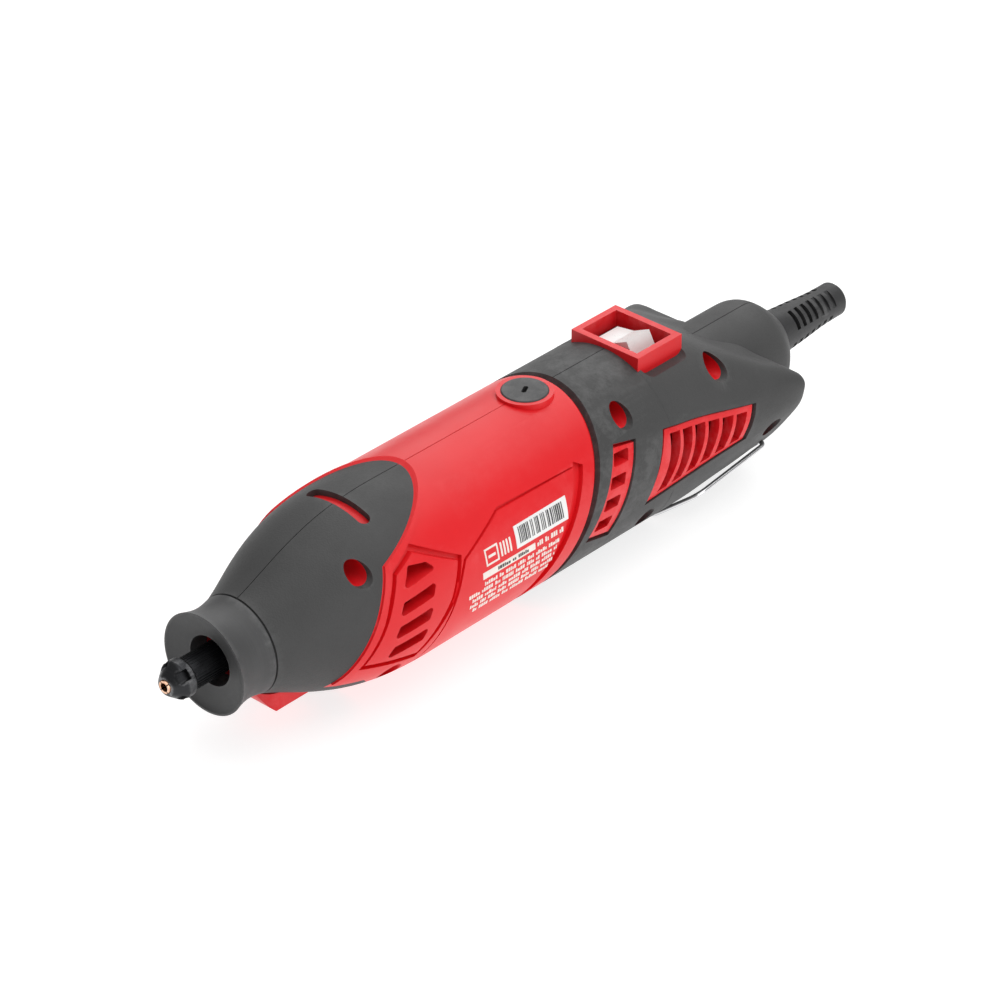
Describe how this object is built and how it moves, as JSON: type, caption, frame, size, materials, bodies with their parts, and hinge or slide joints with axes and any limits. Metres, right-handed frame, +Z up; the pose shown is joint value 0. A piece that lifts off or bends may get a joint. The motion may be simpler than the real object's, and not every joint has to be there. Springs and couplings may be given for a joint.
{
  "type": "rotary hobby tool",
  "caption": "Hand-held mains rotary tool with a collet nose, unscrewing nose collar, spindle lock, rocker switch, vented red shell, soft dark grips and a wire hanging bail.",
  "frame": {"origin": "on the spindle axis at the mouth of the collet", "axes": "+X along the spindle axis from the collet towards the cord boot, +Z up through the rocker switch, -Y is the tool's left side"},
  "size_m": [0.2635, 0.0618, 0.0551],
  "materials": {
    "red_shell": "moulded, satin",
    "dark_grip": "soft-touch, fine grain",
    "dark_collar": "turned matte",
    "black_steel": "black oxide",
    "collet_brass": "machined",
    "bright_steel": "ground",
    "spring_steel": "bright drawn wire",
    "lamination_steel": "laminated",
    "enamel_copper": "enamelled wire",
    "copper": "turned",
    "fan_plastic": "moulded",
    "coupling_rubber": "moulded",
    "carbon": "pressed carbon",
    "brass": "drawn",
    "black_plastic": "moulded",
    "white_plastic": "moulded, satin",
    "yellow_plastic": "film capacitor case",
    "blue_insulation": "wire insulation",
    "brown_insulation": "wire insulation",
    "boot_rubber": "moulded",
    "zinc_screw": "zinc plated",
    "sticker": "printed film"
  },
  "bodies": {
    "housing": {"housing_left": "red_shell", "housing_right": "red_shell", "nose_grip_left": "dark_grip", "nose_grip_right": "dark_grip", "tail_grip_left": "dark_grip", "tail_grip_right": "dark_grip", "spindle_front_bearing_outer_ring": "bright_steel", "spindle_rear_bearing_outer_ring": "bright_steel", "motor_front_bearing_outer_ring": "bright_steel", "motor_rear_bearing_outer_ring": "bright_steel", "field_stator": "lamination_steel", "field_coil_upper": "enamel_copper", "field_coil_lower": "enamel_copper", "brush_holder_top": "brass", "brush_holder_bottom": "brass", "spindle_lock_spring": "spring_steel", "brush_spring_top": "spring_steel", "brush_spring_bottom": "spring_steel", "switch_body": "black_plastic", "switch_terminals": "brass", "suppression_capacitor": "yellow_plastic", "supply_leads": "brown_insulation", "field_leads": "blue_insulation", "cord_clamp": "black_plastic", "cord_clamp_screws": "zinc_screw", "strain_relief_boot": "boot_rubber", "housing_screws": "zinc_screw", "rating_label": "sticker"},
    "rotor": {"spindle": "bright_steel", "spindle_front_bearing_inner_ring": "bright_steel", "spindle_rear_bearing_inner_ring": "bright_steel", "motor_front_bearing_inner_ring": "bright_steel", "motor_rear_bearing_inner_ring": "bright_steel", "drive_coupling": "coupling_rubber", "motor_shaft": "bright_steel", "cooling_fan": "fan_plastic", "armature_core": "lamination_steel", "armature_windings": "enamel_copper", "commutator": "copper"},
    "collet": {"collet": "collet_brass"},
    "nut": {"collet_nut": "black_steel"},
    "seal": {"collar_seal_ring": "coupling_rubber"},
    "collar": {"nose_collar": "dark_collar"},
    "lock_button": {"spindle_lock_button": "red_shell"},
    "rocker": {"rocker": "white_plastic"},
    "bail": {"hanger_bail": "spring_steel"},
    "upper_brush": {"brush_top": "carbon"},
    "lower_brush": {"brush_bottom": "carbon"},
    "upper_cap": {"brush_cap_top": "dark_collar"},
    "lower_cap": {"brush_cap_bottom": "dark_collar"}
  },
  "joints": [
    {"name": "spindle_spin", "type": "hinge", "parent": "housing", "child": "rotor", "pos_m": [0, 0, 0], "axis": [1, 0, 0], "continuous": true},
    {"name": "collet_travel", "type": "slide", "parent": "rotor", "child": "collet", "axis": [-1, 0, 0], "range_m": [0, 0.00226]},
    {"name": "nut_turn", "type": "hinge", "parent": "collet", "child": "nut", "pos_m": [0, 0, 0], "axis": [-1, 0, 0], "range_deg": [0, 1080]},
    {"name": "collar_travel", "type": "slide", "parent": "housing", "child": "seal", "axis": [-1, 0, 0], "range_m": [0, 0.0061]},
    {"name": "collar_turn", "type": "hinge", "parent": "seal", "child": "collar", "pos_m": [0.02, 0, 0], "axis": [-1, 0, 0], "range_deg": [0, 1440]},
    {"name": "lock_press", "type": "slide", "parent": "housing", "child": "lock_button", "axis": [0, 0, 1], "range_m": [0, 0.003], "stiffness_N_per_m": 400, "springref_m": -0.004, "deforming": ["spindle_lock_spring"]},
    {"name": "rocker_tilt", "type": "hinge", "parent": "housing", "child": "rocker", "pos_m": [0.1723, 0, 0.021], "axis": [1, 0, 0], "range_deg": [0, 34]},
    {"name": "bail_swing", "type": "hinge", "parent": "housing", "child": "bail", "pos_m": [0.2075, 0, -0.015], "axis": [0, -1, 0], "range_deg": [0, 165]},
    {"name": "upper_brush_feed", "type": "slide", "parent": "housing", "child": "upper_brush", "axis": [0, 0, 1], "range_m": [0, 0.002], "stiffness_N_per_m": 150, "springref_m": -0.01, "deforming": ["brush_spring_top"]},
    {"name": "lower_brush_feed", "type": "slide", "parent": "housing", "child": "lower_brush", "axis": [0, 0, -1], "range_m": [0, 0.002], "stiffness_N_per_m": 150, "springref_m": -0.01, "deforming": ["brush_spring_bottom"]},
    {"name": "upper_cap_turn", "type": "hinge", "parent": "housing", "child": "upper_cap", "pos_m": [0.1316, 0, 0.025], "axis": [0, 0, 1], "range_deg": [0, 720]},
    {"name": "lower_cap_turn", "type": "hinge", "parent": "housing", "child": "lower_cap", "pos_m": [0.1316, 0, -0.025], "axis": [0, 0, -1], "range_deg": [0, 720]}
  ]
}
